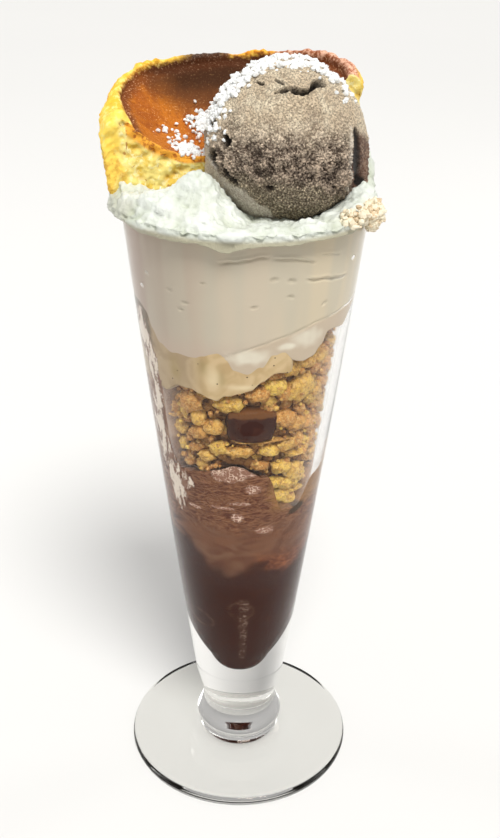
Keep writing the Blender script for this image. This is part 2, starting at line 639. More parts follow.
def makeGranola():
    look = granolaLook
    draw = random.Random(look["seed"])
    kinds = ("puff", "flake", "cluster", "crumb")
    bases = {kind: [shapedPiece(f"{kind}{n}", kind, draw) for n in range(5)] for kind in kinds}
    parts = {kind: [] for kind in kinds}

    def add(kind, angle, height, radii, tone, depth=0.0, turn=None):
        base = pointsOf(draw.choice(bases[kind]))
        spin = anyTurn(draw) if turn is None else turn
        points = (base @ spin.T) * np.array(radii)
        facing = np.array(Matrix.Rotation(math.radians(angle), 3, "Z"))
        points = againstWall(points @ facing.T, angle, height, 0.15 + depth)
        parts[kind].append(copied(bases[kind][0], points, tone=tone, dark=min(depth / 5, 1)))

    for kind, angle, height, radii, tone in granolaFeatures:
        add(kind, angle, height, radii, tone, turn=np.array(Matrix.Rotation(draw.uniform(-0.4, 0.4), 3, "Y")))

    def free(angle, height, radius):  # clear of the features
        for _, featureAngle, featureHeight, radii, _ in granolaFeatures:
            across = math.radians(angle - featureAngle) * insideRadius(height)
            if math.hypot(across, height - featureHeight) <= 0.75 * (radii[0] + radii[2]) / 2 + radius * 0.6:
                return False
        return True

    def wet(angle):
        return look["wetTo"] < angle < look["wetFrom"]

    for layer, depth in enumerate(look["depths"]):
        height = look["low"] + layer * 2.3
        while height < look["high"]:
            reach = insideRadius(height) - 3 - depth
            count = int(math.tau * reach / look["spacing"])
            for place in range(count):
                onward = 360 * (place + 0.5 * draw.random() + 0.5 * (int(height) % 2)) / count
                angle = (onward + 180) % 360 - 180
                level = height + draw.uniform(-1.6, 1.6)
                kind = draw.choices(kinds[:3], [3, 3, 6])[0]
                radius = draw.uniform(1.9, 3.3)
                if wet(angle) or not jellyLine(angle) + 0.8 < level < granolaRoof(angle) - 0.9:
                    continue
                crowded = layer == 0 and not free(angle, level, radius)
                if crowded or inPocket(angle, level, 1.0 if layer else 1.2):
                    continue
                radii = [radius * draw.uniform(0.8, 1.2) for _ in range(3)]
                tone = draw.random() ** 0.8
                add(kind, angle, level, radii, tone, depth + draw.uniform(0, 0.9))
            height += look["rowStep"] + layer
    for _ in range(look["crumbs"]):  # in the gaps
        angle, level = draw.uniform(-180, 180), draw.uniform(108, 165)
        between = jellyLine(angle) < level < granolaRoof(angle)
        if between and not inPocket(angle, level, 1.05) and not wet(angle):
            radius = draw.uniform(0.4, 1.1)
            add("crumb", angle, level, (radius, radius, radius), draw.random(), draw.uniform(0.0, 2.0))

    finish = granolaFinish()
    for kind, made in parts.items():
        placed(joined(f"granola{kind.title()}s", made), finish, "granola")
    dropped(*(piece for several in bases.values() for piece in several))

    def soaked(angle):  # its left side has soaked up melted cream and lies against the glass
        return eased((look["wetFrom"] + 4 - angle) / 7) * eased((angle - look["wetTo"]) / 9)

    def reach(angle, level):
        return -look["coreDepth"] + (look["coreDepth"] + wallReach - 0.04) * soaked(angle)

    def roof(angle, share):
        return granolaRoof(angle, share) - 1.2 * (1 - share)

    core = filling("granolaCore", lambda a, s: jellyTop(a, s) - 1, roof, reach, sides=180, wallRows=60)
    points = pointsOf(core)
    wetShare = soaked(angleOf(points))
    swell(core, uneven(points, 5, 1.1) * 1.2 * (1 - wetShare))
    mark(core, soaked=wetShare)
    inner = Finish("granolaCore", Roughness=0.6, Specular_IOR_Level=0.1)
    dark = inner.mix((0.1, 0.04, 0.012), (0.42, 0.21, 0.07), inner.ramp(inner.clouds(2.2, 4), 0.4, 0.6))
    smear = inner.clouds(5, 4, 0.8, 0.6, inner.moved(stretch=(1, 1, 0.35)))
    pink = inner.mix((0.17, 0.07, 0.034), (0.4, 0.26, 0.175), inner.ramp(smear, 0.42, 0.64))
    inner.set("Base Color", inner.mix(dark, pink, inner.marked("soaked")))
    placed(smoothed(core), inner.material, "granola")
    print("granola:", {kind: len(made) for kind, made in parts.items()})


def granolaFinish():
    finish = Finish("toastedGranola", Roughness=0.5, IOR=1.45)
    tone = finish.marked("tone")
    brown = finish.mix((0.46, 0.19, 0.045), (0.74, 0.36, 0.085), finish.ramp(tone, 0.0, 0.5))
    gold = finish.mix(brown, (0.96, 0.66, 0.12), finish.ramp(tone, 0.5, 1.0))
    patches = finish.ramp(finish.clouds(1.6, 4, 0.6, 0.65), 0.44, 0.58)
    toasted = finish.mix(gold, (0.46, 0.17, 0.03), patches * 0.6)
    pale = finish.ramp(finish.clouds(0.9, 3, 0.3, 0.65, finish.moved(shift=(0.2, 0, 0.1))), 0.5, 0.62)
    toasted = finish.mix(toasted, (0.97, 0.68, 0.27), pale * 0.6)
    pits = finish.ramp(finish.clouds(0.7, 3, 0.0, 0.6), 0.56, 0.66)
    toasted = finish.mix(toasted, (0.16, 0.05, 0.01), pits * 0.5)
    finish.set("Base Color", finish.mix(toasted, (0.12, 0.05, 0.014), finish.marked("dark") * 0.4))
    finish.bumps(finish.clouds(0.9, 4, 0.3, 0.7), 0.8)
    return finish.material


def makePocket():
    form = pocketForm

    def shape(piece):
        ball = pointsOf(piece)
        squared = ball / np.max(np.abs(ball), axis=1)[:, None]
        point = ball + (squared - ball) * 0.45
        height = form["height"] + point[:, 2] * form["up"]
        middle = insideRadius(form["height"]) - form["deep"] + 0.2
        edge = 1 + 0.12 * uneven(point, 0.8, 3) + 0.05 * uneven(point, 0.35, 7)
        angle = form["angle"] + np.degrees(point[:, 0] * form["across"] * edge / middle)
        radius = middle - point[:, 1] * form["deep"] + insideRadius(height) - insideRadius(form["height"])
        radius = np.minimum(radius, insideRadius(height) + wallReach)
        return polar(angle, radius, height + 0.5 * uneven(point, 0.5, 8) * (point[:, 2] < 0))

    piece = newPiece("chocolatePocket", "uv_sphere", segments=64, ring_count=40, radius=mm)
    setPoints(piece, shape(piece))
    finish = Finish("chocolatePocket", Roughness=0.2, Specular_IOR_Level=0.1)
    ragged = (finish.clouds(3, 3) - 0.5) * 2.4
    thin = finish.ramp(finish.along("Z") + ragged, 143.6, 144.2)
    cloudy = finish.ramp(finish.clouds(4, 2, 0.5), 0.45, 0.7)
    dark = finish.mix((0.03, 0.003, 0.001), (0.06, 0.011, 0.003), cloudy)
    finish.set("Base Color", finish.mix(dark, (0.15, 0.055, 0.014), thin))
    return placed(smoothed(piece), finish.material, "chocolate_pocket")


def makeStreak():
    look = {"low": 104.5, "high": 173.0, "columns": 200, "rows": 420, "wide": 1.3, "thick": 0.2, "bare": 0.34}
    piece = newPiece("creamStreak", "grid", x_subdivisions=look["columns"], y_subdivisions=look["rows"],
                     size=2 * mm)
    flat = pointsOf(piece)
    height = look["low"] + (look["high"] - look["low"]) * (flat[:, 1] + 1) / 2
    middle, half = bandAt(height)
    across = flat[:, 0] * look["wide"]
    angle = middle + half * across
    points = polar(angle, insideRadius(height) + wallReach + 0.06, height)
    smears = points * np.array([1, 1, 0.4])
    ragged = uneven(smears, 2.6, 6.6) * 0.8 + uneven(smears, 1.1, 2.5) * 0.6 + uneven(points, 0.6, 9.5) * 0.4
    ends = np.minimum((height - look["low"]) / 4, (look["high"] - height) / 8)
    cover = 0.9 - np.abs(across) ** 2.4 + ragged - 0.6 * (1 - np.clip(ends, 0, 1))
    setPoints(piece, points)
    mark(piece, cover=np.clip(cover, 0, 1.6) / 1.6)
    bpy.ops.object.mode_set(mode="EDIT")
    bpy.ops.mesh.select_all(action="DESELECT")
    bpy.ops.object.mode_set(mode="OBJECT")
    for vertex in piece.data.vertices:
        vertex.select = bool(cover[vertex.index] < look["bare"])
    bpy.ops.object.mode_set(mode="EDIT")
    bpy.ops.mesh.delete(type="VERT")
    bpy.ops.mesh.select_all(action="SELECT")
    bpy.ops.mesh.normals_make_consistent(inside=False)
    bpy.ops.object.mode_set(mode="OBJECT")
    thickened(piece, look["thick"])
    finish = Finish("creamStreak", Roughness=0.5, Specular_IOR_Level=0.1)
    shreds = finish.clouds(2.4, 4, 0.6, 0.6, finish.moved(stretch=(1, 1, 0.4)))
    white = finish.ramp(shreds * 0.7 + finish.marked("cover") * 0.5, 0.48, 0.66)
    finish.set("Base Color", finish.mix((0.25, 0.13, 0.085), (0.8, 0.7, 0.6), white))
    return placed(smoothed(piece), finish.material, "cream_streak")


# The whipped cream, and the form of the cheesecake that it carries

creamForm = {
    "lip": [(-120, 39.5), (-90, 41.0), (-62, 40.0), (-35, 38.4), (0, 38.0), (50, 38.2), (75, 39.2),
            (100, 40.4), (140, 39.0), (180, 38.6)],
    "crest": [(-125, 209), (-90, 208.5), (-62, 205.6), (-30, 204), (0, 203), (50, 203.4), (75, 207),
              (96, 216), (140, 218), (180, 217), (-150, 213)],
    "droop": [(-120, 1.0), (-91, 1.4), (-80, 0.9), (-62, 0.9), (-54, 1.4), (-20, 0.8), (-7, 2.6), (4, 0.8),
              (60, 0.8), (120, 1.0), (180, 1.2)],
    "inset": 3.0, "middle": 201.0, "mounds": [(-11.5, -19, 13, 8), (-22, -17, 4, 8)],
    "smudged": [(-86, 0), (-78, 1), (-62, 1), (-55, 0), (180, 0)],
    "curds": 1.9, "soft": 1.0, "torn": 0.95, "shreds": 1.2, "fine": 0.4,
}
cakeForm = {
    # square is how square its outline is, and hub the point, from its middle, that its rows run out from
    "middle": np.array([-4.2, 6.0]), "radius": 38.2, "back": 32.0, "square": 2.7, "hub": np.array([0.0, 4.0]),
    "rim": 231.0, "slopeBack": 0.25, "slopeRight": 0.12,
    "lift": [(-180, 1.4), (-150, 2.0), (-124, 3.7), (-95, 2.4), (-60, 0), (60, 0), (112, 1.4), (145, 0.4)],
    "thick": 23.0, "bowl": 15.5, "crest": 0.89, "power": 2.3, "shoulder": 5.0, "taper": 4.0,
    "cut": 3.6, "slant": 0.2,
}


def cakeShare(x, y):  # 0 in the middle of the whole cake, 1 along its outline
    c = cakeForm
    across, back = np.abs(x) / c["radius"], np.abs(y) / c["back"]
    return (across ** c["square"] + back ** c["square"]) ** (1 / c["square"])


def cakeRim(x, y):  # height of the rim's surface over a point
    c = cakeForm
    right, back = x - c["middle"][0], y - c["middle"][1]
    lift = around(c["lift"], np.degrees(np.arctan2(right, -back)))
    lift = lift * np.minimum(cakeShare(right, back), 1) ** 2
    return c["rim"] + c["slopeBack"] * back + c["slopeRight"] * right + lift


def cakeSunk(share, wide=0.0):  # how far the top lies below the rim, which wide makes broader
    c = cakeForm
    outer = c["shoulder"] * ((share - c["crest"]) / (1 - c["crest"])) ** 2
    bowl = c["bowl"] * (1 - (np.minimum(share + 0.06 * wide, c["crest"]) / c["crest"]) ** c["power"])
    return np.where(share > c["crest"], outer, bowl)


def wideRim(x, y):  # the rim is broader towards the left of the cut
    return eased((13 - y) / 15) * eased((-17 - x) / 12)


def creamTop(x, y):
    f = creamForm
    angle = np.degrees(np.arctan2(x, -y))
    crest = around(f["crest"], angle)
    share = np.hypot(x, y) / (around(f["lip"], angle) - f["inset"])
    bed = cakeRim(x, y) - cakeForm["thick"] + 2
    middle = f["middle"] + (bed - f["middle"]) * eased((y + 12) / 16)
    height = middle + (crest - middle) * eased((share - 0.55) / 0.45)
    for across, back, rise, radius in f["mounds"]:
        height = height + rise * np.exp(-((x - across) ** 2 + (y - back) ** 2) / radius**2)
    return height


def makeCreamBelow():  # what shows through the glass, up to the rim
    look = {
        "lights": [(3, 164.7, 12, 2.5), (36, 169.2, 10, 3.0), (24, 167.6, 6, 1.2)],
        "mainEdge": [(-14, 164), (1, 167), (10, 168.8), (24, 171.5), (39, 173.4), (55, 174.3), (80, 176)],
        # creases, each from and to an angle, with its height, rise, wave and depth
        "creases": [(-13, 12, 193.2, 2.0, 0.4, 0.5), (12, 36, 195.2, -3.2, 0.5, 0.5),
                    (30, 60, 187.3, -2.2, 0.6, 0.5), (36, 52, 194.5, -2, 0.5, 0.3)],
        # dimples, each its angle, height and half width
        "dimples": [(14, 188.7, 0.9), (23, 187.9, 1.0), (-39, 183.1, 0.8), (-30, 180.2, 0.9), (5, 180.5, 0.7),
                    (-33, 177.9, 0.8), (23, 183.1, 0.8), (-55, 186, 0.7), (44, 179, 0.7), (-62, 181, 0.8),
                    (64, 190, 0.9), (-20, 187, 0.5)],
    }

    def belowMain(angle, level):  # a first lot of cream shows under the main one at the front right
        line = np.interp(angle, *zip(*look["mainEdge"])) + 0.5 * wobble(angle, 4, 3.7)
        return (line - level) * (angle > -14) * (angle < 85)

    def reach(angle, level):
        groove = np.zeros_like(level)
        for start, end, height, rise, wave, depth in look["creases"]:
            line = height + rise * (angle - start) / (end - start)
            line = line + wave * wobble(angle, 9, height) + 0.4 * wobble(angle, 2.5, height)
            within = eased((angle - start) / 4) * eased((end - angle) / 4)
            fold = np.exp(-((level - line) / 0.4) ** 2)
            swollen = np.exp(-((level - line - 0.75) / 0.45) ** 2)  # just above the fold
            groove += depth * within * (fold - 0.45 * swollen)
        for middle, height, size in look["dimples"]:
            away = np.hypot(np.radians(angle - middle) * 32 / size, (level - height) / (size * 0.6))
            groove += 0.5 * np.exp(-(away**2))
        edge = np.exp(-(belowMain(angle, level) / 0.3) ** 2) * (angle > -13) * (angle < 84)
        return wallReach - 0.01 - groove - 0.25 * edge

    piece = filling("creamInGlass", creamFoot, lambda a, s: 199.6 + 0 * a, reach, sides=380, wallRows=150,
                    floorRows=10, roofRows=4, rounding=0.5)
    points = pointsOf(piece)
    light = np.zeros(len(points))
    drawnOut = 1 + 0.3 * uneven(points * np.array([1, 1, 0.3]), 1.8, 3)
    for spot in look["lights"]:
        light = np.maximum(light, eased((1.3 - fromSpot(points, spot, 0.3, 2.2)) / 0.9) * drawnOut)
    mark(piece, second=eased(belowMain(angleOf(points), points[:, 2]) / 0.5), light=light)
    finish = creamFinish("creamInGlass", True)
    return placed(smoothed(piece, 60), finish, "whipped_cream")


def makeCreamTop():
    f = creamForm
    sides, wallRows, topRows = 400, 56, 92
    rows = wallRows + topRows
    rim = glassForm["height"]

    def place(angle, row):
        lip = around(f["lip"], angle) - 0.8
        crest = around(f["crest"], angle)
        droop = around(f["droop"], angle) + 0.5 * wobble(angle, 5, 3.3) + 0.35 * wobble(angle, 1.8, 6.1)
        stops = [(30.0, 190.0), (33.2, 196.0), (33.9, 200.2), (36.0, rim + 0.25), (36.95, rim - droop * 0.7),
                 (37.3, rim - droop), (lip - 0.2, rim + 0.6 - droop * 0.35), (lip, rim + 2.0),
                 (lip - 0.7, rim + 0.6 * (crest - rim)), (lip - f["inset"], crest)]
        radii, heights = (
            np.stack([np.broadcast_to(np.asarray(value, float), angle.shape) for value in values])
            for values in zip(*stops))
        at = np.clip(row / wallRows, 0, 1) * (len(stops) - 1)
        low = np.clip(np.floor(at).astype(int), 0, len(stops) - 2)
        here = np.arange(len(angle))

        def along(values):
            near = (values[np.clip(low + step, 0, len(stops) - 1), here] for step in (-1, 0, 1, 2))
            return through(*near, at - low)

        share = np.clip((rows - row) / topRows, 0, 1)
        flat = polar(angle, (lip - f["inset"]) * share, 0.0)
        outer = polar(angle, along(radii), along(heights))
        outer[row == 0] = (0, 0, 190)
        inner = np.stack([flat[:, 0], flat[:, 1], creamTop(flat[:, 0], flat[:, 1])], axis=-1)
        return np.where((row <= wallRows)[:, None], outer, inner)

    piece = moulded("creamTop", sides, rows, place)
    points = pointsOf(piece)
    above = eased((points[:, 2] - 199.3) / 2.5)
    warped = points + 1.6 * np.stack([uneven(points, 5, shift) for shift in (1, 5, 9)], axis=-1)
    curds, _ = grains(warped, 7.5, 2.1)
    torn, _ = grains(warped, 3.1, 5.2)
    shreds = 0.35 - np.abs(uneven(warped, 2.4, 7.7))
    relief = f["curds"] * (0.5 - curds) + f["soft"] * uneven(points, 8, 4.4) + f["torn"] * (0.45 - torn)
    relief = relief + f["shreds"] * shreds + f["fine"] * uneven(points, 1.1, 8.4)
    swell(piece, above * relief)
    smudge = around(f["smudged"], angleOf(points)) * eased((206.5 + 2 * shreds - points[:, 2]) / 2)
    thin = np.maximum(eased((201.2 - points[:, 2]) / 1.6), 0.4 * smudge)
    mark(piece, crease=np.clip(0.3 - relief * 0.5, 0, 1) * above, thin=thin)
    return placed(smoothed(piece), creamFinish("creamTop", False), "whipped_cream")


def creamFinish(name, behindGlass):
    finish = Finish(name, Roughness=0.42, Specular_IOR_Level=0.1 if behindGlass else 0.4)
    soft = finish.ramp(finish.clouds(13, 2, 0.4), 0.35, 0.7)
    if behindGlass:
        across = finish.along("X")
        mid = finish.mix((0.44, 0.345, 0.285), (0.6, 0.52, 0.41), finish.ramp(across, -27, -4))
        warm = finish.mix(mid, (0.645, 0.555, 0.41), finish.ramp(across, 2, 22))
        bands = finish.clouds(8, 1, 0.0, 0.4, finish.moved(stretch=(1, 1, 0.08)))
        warm = finish.mix(warm, (0.54, 0.5, 0.405), finish.ramp(bands, 0.4, 0.62) * 0.55)
        warm = finish.mix(warm, (0.55, 0.43, 0.35), finish.ramp(finish.along("Z"), 172, 163) * 0.6)
        warm = finish.mix(warm, (0.56, 0.46, 0.35), finish.marked("second"))
        light = finish.marked("light") * (0.7 + soft * 0.3)
        finish.set("Base Color", finish.mix(warm, (0.77, 0.72, 0.6), light))
    else:
        white = finish.mix((0.69, 0.73, 0.67), (0.79, 0.82, 0.77), soft)
        white = finish.mix(white, (0.5, 0.54, 0.42), finish.marked("crease") * 0.9)
        finish.set("Base Color", finish.mix(white, (0.36, 0.33, 0.22), finish.marked("thin") * 0.9))
        finish.bumps(finish.clouds(1.7, 5, 0.5, 0.6), 0.55)
    return finish.material


# The cheesecake

def farthest(start, step, inside):  # how far along each step the points stay inside, from 0 to 1
    low, high = np.zeros(len(step)), np.ones(len(step))
    for _ in range(26):
        middle = (low + high) / 2
        kept = inside(start + step * middle[:, None])
        low, high = np.where(kept, middle, low), np.where(kept, high, middle)
    return start + step * low[:, None]


def makeCake():
    c = cakeForm
    sides, sideRows, topRows = 460, 64, 96
    last = sideRows + topRows + 1

    def inCake(points, taper):
        across = np.abs(points[:, 0]) / (c["radius"] - taper)
        back = np.abs(points[:, 1]) / (c["back"] - taper)
        inOutline = across ** c["square"] + back ** c["square"] < 1
        return (points[:, 1] > c["slant"] * points[:, 0] - c["cut"]) & inOutline

    def edgeOf(angle, sunk):
        taper = c["taper"] * np.maximum(sunk - c["shoulder"], 0) / (c["thick"] - c["shoulder"])
        return farthest(c["hub"], polar(angle, 2 * c["radius"], 0.0)[:, :2], lambda p: inCake(p, taper))

    turns = np.linspace(-180, 180, 1441)
    steps = np.linalg.norm(np.diff(edgeOf(turns, np.zeros(len(turns))), axis=0), axis=1)
    lengths = np.concatenate([[0], np.cumsum(steps)])
    parts = {}

    def place(angle, row):
        angle = np.interp((angle + 180) / 360 * lengths[-1], lengths, turns)  # evenly along the outline
        rim = edgeOf(angle, np.zeros_like(angle))
        onTop = row > sideRows
        topShare = np.clip((last - row) / topRows, 0, 1) ** 0.8
        flat = c["hub"] + (rim - c["hub"]) * topShare[:, None]
        wide = wideRim(*(flat + c["middle"]).T)
        topSunk = cakeSunk(np.minimum(cakeShare(flat[:, 0], flat[:, 1]), 1), wide)
        rimSunk = cakeSunk(np.minimum(cakeShare(rim[:, 0], rim[:, 1]), 1), wideRim(*(rim + c["middle"]).T))
        up = np.clip((row - 1) / sideRows, 0, 1)
        sunk = rimSunk + (c["thick"] - rimSunk) * (1 - up)
        wall = np.where((row == 0)[:, None], c["hub"], edgeOf(angle, sunk))
        xy = np.where(onTop[:, None], flat, wall)
        depth = np.where(onTop, topSunk, sunk)
        cut = rim[:, 1] - (c["slant"] * rim[:, 0] - c["cut"]) < 0.05
        share = cakeShare(xy[:, 0], xy[:, 1])
        glaze = np.where(onTop, eased((topShare - 0.85) / 0.08), eased((up - 0.8) / 0.08))
        world = xy + c["middle"]
        parts.update(top=onTop, share=share, inward=share + 0.12 * wideRim(*world.T), sunk=depth / c["thick"],
                     cut=cut & (~onTop | (topShare > 0.995)),
                     glaze=glaze * (cut & (cakeShare(rim[:, 0], rim[:, 1]) < 0.8)))
        return np.column_stack([world, cakeRim(world[:, 0], world[:, 1]) - depth])

    piece = moulded("cakeWedge", sides, last, place)
    points = pointsOf(piece)
    points += 0.5 * np.stack([uneven(points, 6, s) for s in (0, 11, 23)], axis=-1)
    setPoints(piece, points)
    near, _ = grains(points, 3.2, 1.7)
    pits, _ = grains(points + 0.8 * uneven(points, 2, 6)[:, None], 4.3, 8.2)
    corner = points[:, 0] + 37.5 - 3 * parts["sunk"] + 1.2 * uneven(points, 3, 5)  # crust left of here
    crumbly = parts["cut"] * eased(corner / 1.6)
    crust = eased((parts["inward"] - 0.84) / 0.08) * (1 - crumbly)
    holes = np.exp(-((pits / 0.27) ** 2)) + 0.5 * np.exp(-((near / 0.22) ** 2))
    crumb = 0.9 * np.abs(uneven(points, 6, 3)) + 1.2 * holes + 0.45 * uneven(points, 2.2, 5)
    crumb = crumbly * (crumb + 0.25 * uneven(points, 0.9, 1))
    wrinkles = 1.2 * uneven(points, 6.5, 9) + 0.4 - np.abs(uneven(points, 3.4, 2))
    wrinkles = crust * (wrinkles + 0.35 * uneven(points, 1.1, 4))
    fold = -0.9 * np.exp(-(((parts["inward"] - 0.845) / 0.018) ** 2)) * parts["top"]
    skin = parts["top"] * (1 - crust) * (0.5 * uneven(points, 10, 6) + 0.12 * uneven(points, 1.6, 7))
    swell(piece, wrinkles + skin + fold - crumb + 0.45 * parts["cut"])
    mark(piece, cutFace=crumbly, share=parts["share"], inward=parts["inward"], sunk=parts["sunk"],
         topSide=parts["top"], glaze=parts["glaze"], holes=np.clip(holes, 0, 1))
    return placed(smoothed(piece), cakeFinish(), "cheesecake")


def cakeFinish():
    finish = Finish("scorchedCheesecake", IOR=1.45, Specular_IOR_Level=0.16,
                    Specular_Tint=(1.0, 0.75, 0.55, 1))
    names = ("share", "sunk", "cutFace", "topSide", "glaze", "holes")
    share, sunk, cut, top, glaze, holes = (finish.marked(name) for name in names)
    across, deep = finish.along("X"), finish.along("Y")
    patches = finish.clouds(8, 5, 0.5, 0.6)
    mottled = finish.clouds(2.0, 4, 0.3, 0.62)
    grain = finish.clouds(0.6, 3, 0.0, 0.7)
    shifted = across + (patches - 0.5) * 9
    inward = finish.marked("inward") + (mottled - 0.5) * 0.07

    # the sunken top: darker and burnt towards the back, blistered along its border
    bowl = finish.mix((0.54, 0.165, 0.016), (0.4, 0.105, 0.014), finish.ramp(patches, 0.42, 0.62))
    bowl = finish.mix(bowl, (0.2, 0.058, 0.017), finish.ramp(shifted * 0.5 + deep, 6, 20) * 0.85)
    bowl = finish.mix(bowl, (0.2, 0.05, 0.012), finish.ramp(grain, 0.44, 0.34) * 0.6)
    scorched = finish.ramp(deep + (patches - 0.5) * 8, 17, 28)
    scorched = scorched * finish.ramp(shifted, -37, -28) * finish.ramp(shifted, 10, 3)
    burnt = finish.mix((0.1, 0.034, 0.011), (0.04, 0.014, 0.006), finish.ramp(deep + mottled * 3, 27, 31))
    bowl = finish.mix(bowl, burnt, scorched * 0.95)
    border = finish.ramp(inward, 0.775, 0.83) * finish.ramp(inward, 0.9, 0.865)
    blistered = finish.mix((0.15, 0.04, 0.014), (0.62, 0.36, 0.24), finish.ramp(grain, 0.55, 0.68))
    bowl = finish.mix(bowl, blistered, border * (0.85 - scorched * 0.6))
    bowl = finish.mix(bowl, (0.95, 0.55, 0.24), finish.ramp(grain, 0.57, 0.7) * (0.55 - scorched * 0.45))

    # the rim: gold at the left, then smoky at the back, orange, and pink at the right
    deeper = finish.ramp(patches + finish.ramp(deep, 2, 14) * 0.12, 0.42, 0.62)
    gold = finish.mix((1.0, 0.72, 0.13), (1.0, 0.55, 0.055), deeper)
    gold = finish.mix(gold, (1.0, 0.86, 0.3), finish.ramp(mottled, 0.48, 0.66) * 0.8)
    gold = finish.mix(gold, (0.7, 0.34, 0.05), finish.ramp(mottled, 0.36, 0.28) * 0.6)
    smoky = finish.mix((0.07, 0.04, 0.03), (0.3, 0.2, 0.15), finish.ramp(grain, 0.48, 0.66))
    orange = finish.mix((0.95, 0.36, 0.03), (1.0, 0.6, 0.09), finish.ramp(mottled, 0.45, 0.62))
    speckled = finish.ramp(grain * 0.5 + mottled * 0.5, 0.42, 0.56)
    pink = finish.mix((0.42, 0.14, 0.07), (0.88, 0.54, 0.38), speckled)
    zone = shifted + (mottled - 0.5) * 6
    rim = finish.mix(gold, smoky, finish.ramp(zone, -24, -16) * finish.ramp(deep, 12, 20))
    rim = finish.mix(rim, orange, finish.ramp(zone, -8, -2))
    rim = finish.mix(rim, pink, finish.ramp(zone, 7, 13))
    crust = finish.mix(bowl, rim, finish.ramp(inward, 0.86, 0.9))

    # the side below the browned crust, the crumb of the cut, and the glaze at its top
    side = finish.mix((0.95, 0.66, 0.12), (0.68, 0.38, 0.06), finish.ramp(mottled, 0.42, 0.62))
    side = finish.mix(side, (1.0, 0.84, 0.27), finish.ramp(patches, 0.5, 0.64) * 0.7)
    right = finish.ramp(across, 24, 28)
    browned = finish.ramp(sunk + (mottled - 0.5) * 0.12 + right * 0.27, 0.42, 0.26)
    browned = browned.over(top * finish.ramp(share + right * 0.1, 1.08, 1.04))
    crust = finish.mix(side, crust, browned)
    tanned = finish.ramp(finish.clouds(3.4, 5, 0.5, 0.6), 0.46, 0.64)
    crumb = finish.mix((0.93, 0.77, 0.25), (0.78, 0.54, 0.09), tanned)
    pale = finish.ramp(finish.clouds(1.9, 4, 0.4, 0.6), 0.5, 0.62)
    crumb = finish.mix(crumb, (0.98, 0.92, 0.5), pale * 0.8)
    crumb = finish.mix(crumb, (0.64, 0.35, 0.045), holes * 0.65)
    caramel = finish.clouds(3.4, 3, 0.8, 0.5, finish.moved(shift=(0.02, 0.3, 0)))
    crumb = finish.mix(crumb, (0.45, 0.17, 0.04), finish.ramp(caramel, 0.66, 0.71) * 0.8)
    colour = finish.mix(crust, crumb, cut)
    glazed = finish.mix((0.5, 0.15, 0.025), (0.95, 0.45, 0.06), finish.ramp(mottled, 0.4, 0.54))
    colour = finish.mix(colour, glazed, glaze * finish.ramp(mottled, 0.3, 0.4))
    finish.set("Base Color", colour)
    finish.set("Roughness", 0.6 - 0.16 * (finish.ramp(share, 0.86, 0.7) * top))
    finish.bumps(finish.clouds(0.55, 4, 0.2, 0.65), 0.3)
    return finish.material


# The scoop

scoopForm = {
    "middle": np.array([11.2, -4.0, 220.0]), "radius": 22.6, "facing": 20,
    # (angle, value) stops go round the scoop, from straight up towards the viewer's right
    "skirt": [(-96, 0.6), (-118, 2.4), (-142, 3.2), (180, 1.0), (150, 2.8), (134, 4.4), (118, 4.0),
              (100, 2.0), (74, 1.0), (50, 0.5), (0, 0.2), (-50, 0.3)],
    "skirtAt": -8, "skirtWidth": 4.5,
    "flare": [(-100, 4.5), (-116, 12), (-165, 12), (178, 4.5), (0, 4.5)],
    "melt": [(-84, -20), (-100, 18), (-118, 26), (-142, 35), (-162, 30), (-178, 14), (160, 8), (140, -20),
             (0, -20)],
    "shade": [(-95, 0), (-75, 0.8), (20, 0.8), (45, 0), (180, 0)],
    # cracks, each its depth and a line of (right, up, half width) as the viewer sees it from the middle
    "cracks": [
        (2.8, [(-3.6, 9.7, 0.2), (-1.2, 10.4, 0.6), (0.4, 10.8, 0.55), (2.4, 10.1, 0.85), (4.4, 10.2, 0.8),
               (5.8, 11.0, 0.35)]),
        (3.0, [(5.8, 11.0, 0.35), (6.8, 12.6, 0.8), (8.4, 13.2, 1.15), (9.6, 13.0, 0.5)]),
        (1.0, [(-8.6, 13.3, 0.2), (-7.1, 12.5, 0.4)]),
        (1.1, [(-3.4, 13.3, 0.3), (-1.6, 12.3, 0.4)]),
        (1.6, [(-19.8, 5.0, 0.3), (-20.1, 3.2, 0.6), (-19.3, 1.4, 0.3)]),
        (2.8, [(-20.2, -3.6, 0.4), (-20.2, -5.2, 0.85), (-19.4, -7.6, 0.5)]),
        (1.6, [(-17.0, 0.4, 0.3), (-16.2, -2.4, 0.9), (-17.0, -4.0, 0.3)]),
        (1.8, [(-5.6, -14.5, 0.3), (-4.9, -14.8, 0.65), (-3.9, -14.8, 0.4)]),
        (1.3, [(-17.6, -8.4, 0.3), (-16.4, -10.6, 0.5), (-13.6, -13.2, 0.4)]),
        (0.7, [(18.5, 2.4, 0.3), (18.9, -1.0, 0.9), (19.3, -5.5, 1.0), (19.9, -9.6, 0.8),
               (20.3, -12.0, 0.4)]),
    ],
    "flap": [(16.9, 2.0, 0.3), (17.1, -4.0, 0.4), (17.6, -10.0, 0.4), (17.4, -13.5, 0.3)],
}


def scoopFrame():
    return np.array(Matrix.Rotation(math.radians(90 - scoopForm["facing"]), 3, "X"))


def fromLine(right, up, line):  # distance from a line of (right, up, half width), in half widths
    nearest = np.full(len(right), 99.0)
    for (x, y, width), (nextX, nextY, nextWidth) in zip(line, line[1:]):
        lengths = (nextX - x) ** 2 + (nextY - y) ** 2
        share = np.clip(((right - x) * (nextX - x) + (up - y) * (nextY - y)) / lengths, 0, 1)
        away = np.hypot(right - x - share * (nextX - x), up - y - share * (nextY - y))
        nearest = np.minimum(nearest, away / (width + share * (nextWidth - width)))
    return nearest


